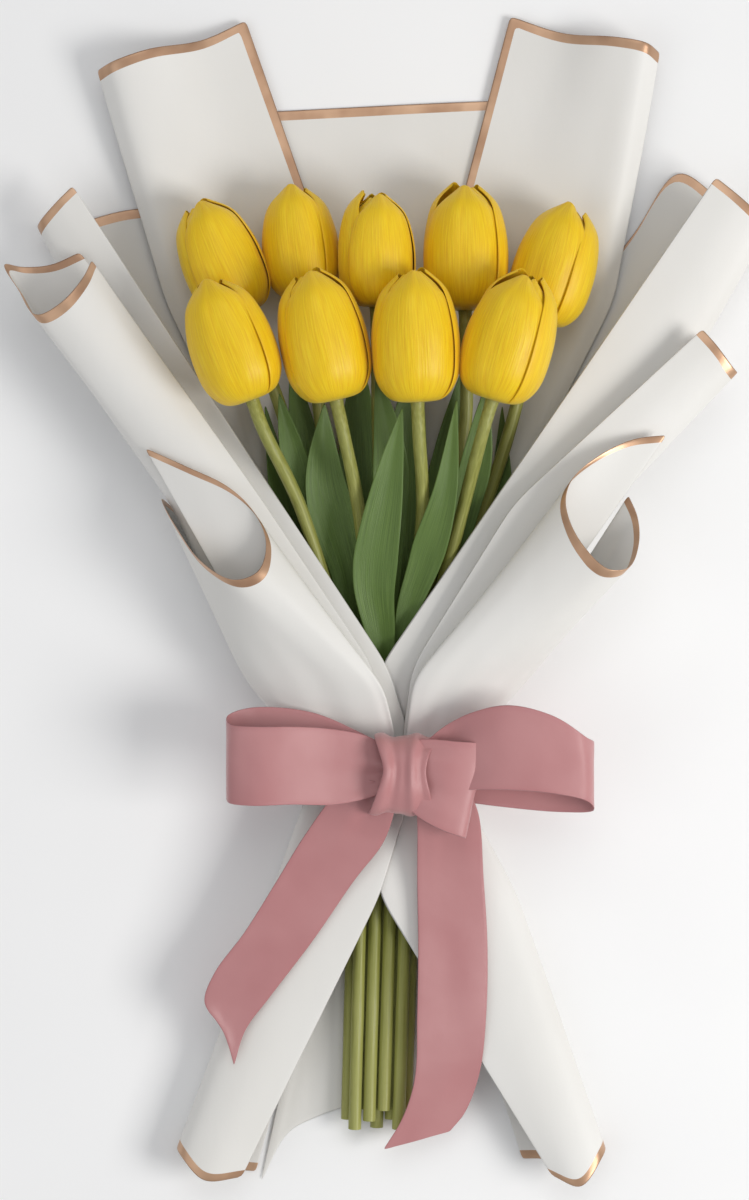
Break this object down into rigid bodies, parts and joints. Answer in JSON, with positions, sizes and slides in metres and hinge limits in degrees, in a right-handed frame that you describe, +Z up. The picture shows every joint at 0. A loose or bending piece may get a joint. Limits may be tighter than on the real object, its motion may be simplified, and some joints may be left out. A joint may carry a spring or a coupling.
{
  "type": "wrapped tulip bunch",
  "caption": "Hand-tied bunch of tulips in bordered florist's paper, rolled and folded to the front and bound with a satin ribbon bow, lying on its back.",
  "frame": {"origin": "centre of the bounding box's footprint, on the surface the bunch lies on", "axes": "+X to the right of the bunch seen from its front, +Y from the cut stem ends to the top of the paper, +Z up, which is the side the front faces"},
  "size_m": [0.3619, 0.561, 0.0767],
  "materials": {
    "paper": "matte coated white paper with a satin copper-coloured border line",
    "petal": "waxy yellow petal",
    "stem": "smooth fresh green stem",
    "leaf": "soft satin green leaf",
    "ribbon": "dusty pink satin"
  },
  "bodies": {
    "root": {"back_sheet": "paper", "leaf_1": "leaf", "leaf_2": "leaf", "leaf_3": "leaf", "leaf_4": "leaf", "leaf_5": "leaf", "left_back_panel": "paper", "left_cuff": "paper", "left_sleeve": "paper", "left_wrap": "paper", "ribbon_bow": "ribbon", "right_back_panel": "paper", "right_cuff": "paper", "right_sleeve": "paper", "right_wrap": "paper", "tulip_1_inner_petals": "petal", "tulip_1_petal_1": "petal", "tulip_1_petal_2": "petal", "tulip_1_petal_3": "petal", "tulip_1_stem": "stem", "tulip_2_inner_petals": "petal", "tulip_2_petal_1": "petal", "tulip_2_petal_2": "petal", "tulip_2_petal_3": "petal", "tulip_2_stem": "stem", "tulip_3_inner_petals": "petal", "tulip_3_petal_1": "petal", "tulip_3_petal_2": "petal", "tulip_3_petal_3": "petal", "tulip_3_stem": "stem", "tulip_4_inner_petals": "petal", "tulip_4_petal_1": "petal", "tulip_4_petal_2": "petal", "tulip_4_petal_3": "petal", "tulip_4_stem": "stem", "tulip_5_inner_petals": "petal", "tulip_5_petal_1": "petal", "tulip_5_petal_2": "petal", "tulip_5_petal_3": "petal", "tulip_5_stem": "stem", "tulip_6_inner_petals": "petal", "tulip_6_petal_1": "petal", "tulip_6_petal_2": "petal", "tulip_6_petal_3": "petal", "tulip_6_stem": "stem", "tulip_7_inner_petals": "petal", "tulip_7_petal_1": "petal", "tulip_7_petal_2": "petal", "tulip_7_petal_3": "petal", "tulip_7_stem": "stem", "tulip_8_inner_petals": "petal", "tulip_8_petal_1": "petal", "tulip_8_petal_2": "petal", "tulip_8_petal_3": "petal", "tulip_8_stem": "stem", "tulip_9_inner_petals": "petal", "tulip_9_petal_1": "petal", "tulip_9_petal_2": "petal", "tulip_9_petal_3": "petal", "tulip_9_stem": "stem"}
  },
  "joints": []
}
